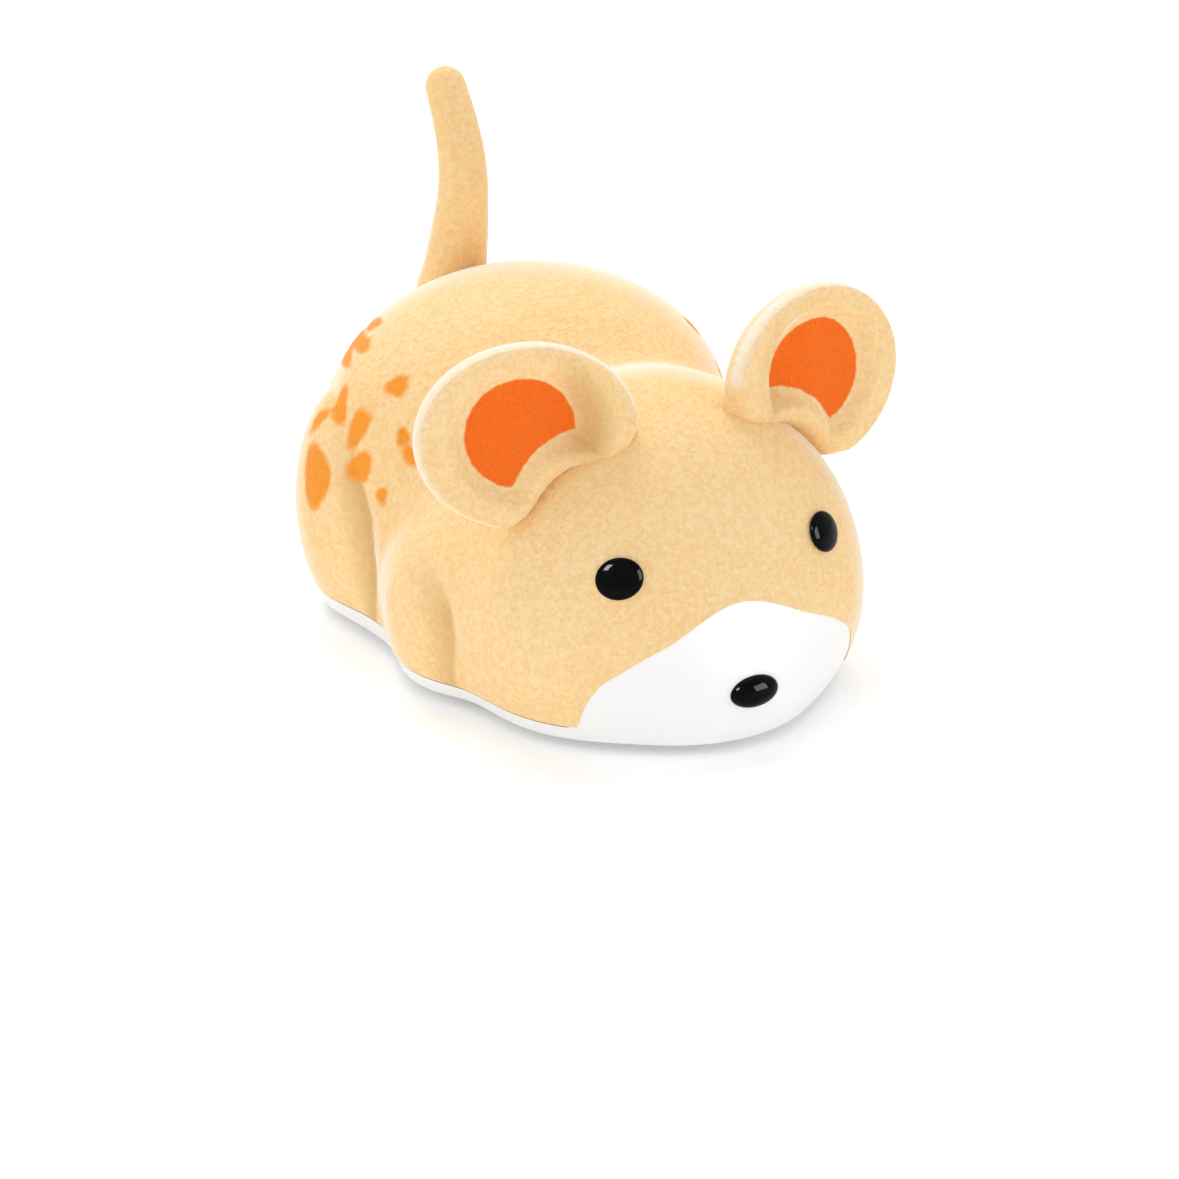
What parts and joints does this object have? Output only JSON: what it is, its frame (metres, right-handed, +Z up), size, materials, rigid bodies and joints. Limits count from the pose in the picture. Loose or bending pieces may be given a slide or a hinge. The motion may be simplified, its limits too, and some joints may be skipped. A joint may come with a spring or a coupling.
{
  "type": "robotic mouse cat toy",
  "caption": "Small flocked mouse on hidden driven wheels and a swivelling front caster, with round ears, bead eyes, an upright tail and a geared drive inside, for cats to chase.",
  "frame": {"origin": "on the floor, below the middle of the toy's length and width", "axes": "+Z up, -Y towards the snout, +X towards the mouse's left side"},
  "size_m": [0.045, 0.0565, 0.0434],
  "materials": {
    "flock": "moulded shell with a short flocked pile",
    "tail_flock": "soft core with a short flocked pile",
    "white": "smooth moulded",
    "bead": "polished",
    "nylon": "moulded nylon",
    "frame": "moulded",
    "tyre": "soft, matt",
    "steel": "drawn or plated",
    "brass": "turned",
    "foil": "foil pouch",
    "board": "glass fibre board",
    "epoxy": "moulded epoxy",
    "red_lead": "soft red insulation",
    "black_lead": "soft black insulation"
  },
  "bodies": {
    "body": {"upper_shell": "flock", "lower_shell": "white", "left_ear": "flock", "right_ear": "flock", "left_eye": "bead", "right_eye": "bead", "nose": "bead", "tail": "tail_flock", "drive_frame": "frame", "wheel_axle": "steel", "battery": "foil", "circuit_board": "board", "control_chip": "epoxy", "motor_driver_chip": "epoxy", "motion_sensor": "steel", "charging_socket": "steel", "power_switch": "steel", "left_axle_cap": "steel", "left_idler_pin": "steel", "left_motor": "steel", "right_axle_cap": "steel", "right_idler_pin": "steel", "right_motor": "steel", "shell_screw_front_left": "steel", "shell_screw_front_right": "steel", "shell_screw_rear_left": "steel", "shell_screw_rear_right": "steel", "frame_screw_front": "steel", "frame_screw_rear": "steel", "battery_lead_red": "red_lead", "battery_lead_black": "black_lead", "left_motor_lead_red": "red_lead", "left_motor_lead_black": "black_lead", "right_motor_lead_red": "red_lead", "right_motor_lead_black": "black_lead", "switch_lead_red": "red_lead", "switch_lead_black": "black_lead"},
    "left_wheel": {"left_wheel_hub": "nylon", "left_tyre": "tyre"},
    "right_wheel": {"right_wheel_hub": "nylon", "right_tyre": "tyre"},
    "left_idler": {"left_idler_gear": "nylon"},
    "right_idler": {"right_idler_gear": "nylon"},
    "left_rotor": {"left_motor_pinion": "brass", "left_motor_shaft": "steel"},
    "right_rotor": {"right_motor_pinion": "brass", "right_motor_shaft": "steel"},
    "caster": {"caster_fork": "nylon", "caster_clip": "steel", "caster_pin": "steel"},
    "caster_wheel": {"caster_wheel": "tyre"},
    "switch_slider": {"switch_knob": "epoxy"}
  },
  "joints": [
    {"name": "left_wheel_spin", "type": "hinge", "parent": "body", "child": "left_wheel", "pos_m": [0.01104, 0.0055, 0.007], "axis": [1, 0, 0], "continuous": true},
    {"name": "left_idler_spin", "type": "hinge", "parent": "body", "child": "left_idler", "pos_m": [0.007, 0.00026, 0.01067], "axis": [1, 0, 0], "continuous": true},
    {"name": "left_motor_spin", "type": "hinge", "parent": "body", "child": "left_rotor", "pos_m": [0.006, -0.00605, 0.00956], "axis": [1, 0, 0], "continuous": true},
    {"name": "right_wheel_spin", "type": "hinge", "parent": "body", "child": "right_wheel", "pos_m": [-0.01104, 0.0055, 0.007], "axis": [1, 0, 0], "continuous": true},
    {"name": "right_idler_spin", "type": "hinge", "parent": "body", "child": "right_idler", "pos_m": [-0.007, 0.01074, 0.01067], "axis": [1, 0, 0], "continuous": true},
    {"name": "right_motor_spin", "type": "hinge", "parent": "body", "child": "right_rotor", "pos_m": [-0.006, 0.01705, 0.00956], "axis": [1, 0, 0], "continuous": true},
    {"name": "caster_swivel", "type": "hinge", "parent": "body", "child": "caster", "pos_m": [0, -0.0165, 0.008], "axis": [0, 0, 1], "continuous": true},
    {"name": "caster_wheel_spin", "type": "hinge", "parent": "caster", "child": "caster_wheel", "pos_m": [0, -0.0152, 0.003], "axis": [1, 0, 0], "continuous": true},
    {"name": "power_switch_slide", "type": "slide", "parent": "body", "child": "switch_slider", "axis": [0, 1, 0], "range_m": [0, 0.0015]}
  ],
  "couplings": [
    {"joint": "left_idler_spin", "follows": "left_wheel_spin", "ratio": -3},
    {"joint": "left_motor_spin", "follows": "left_wheel_spin", "ratio": 9},
    {"joint": "right_idler_spin", "follows": "right_wheel_spin", "ratio": -3},
    {"joint": "right_motor_spin", "follows": "right_wheel_spin", "ratio": 9}
  ]
}
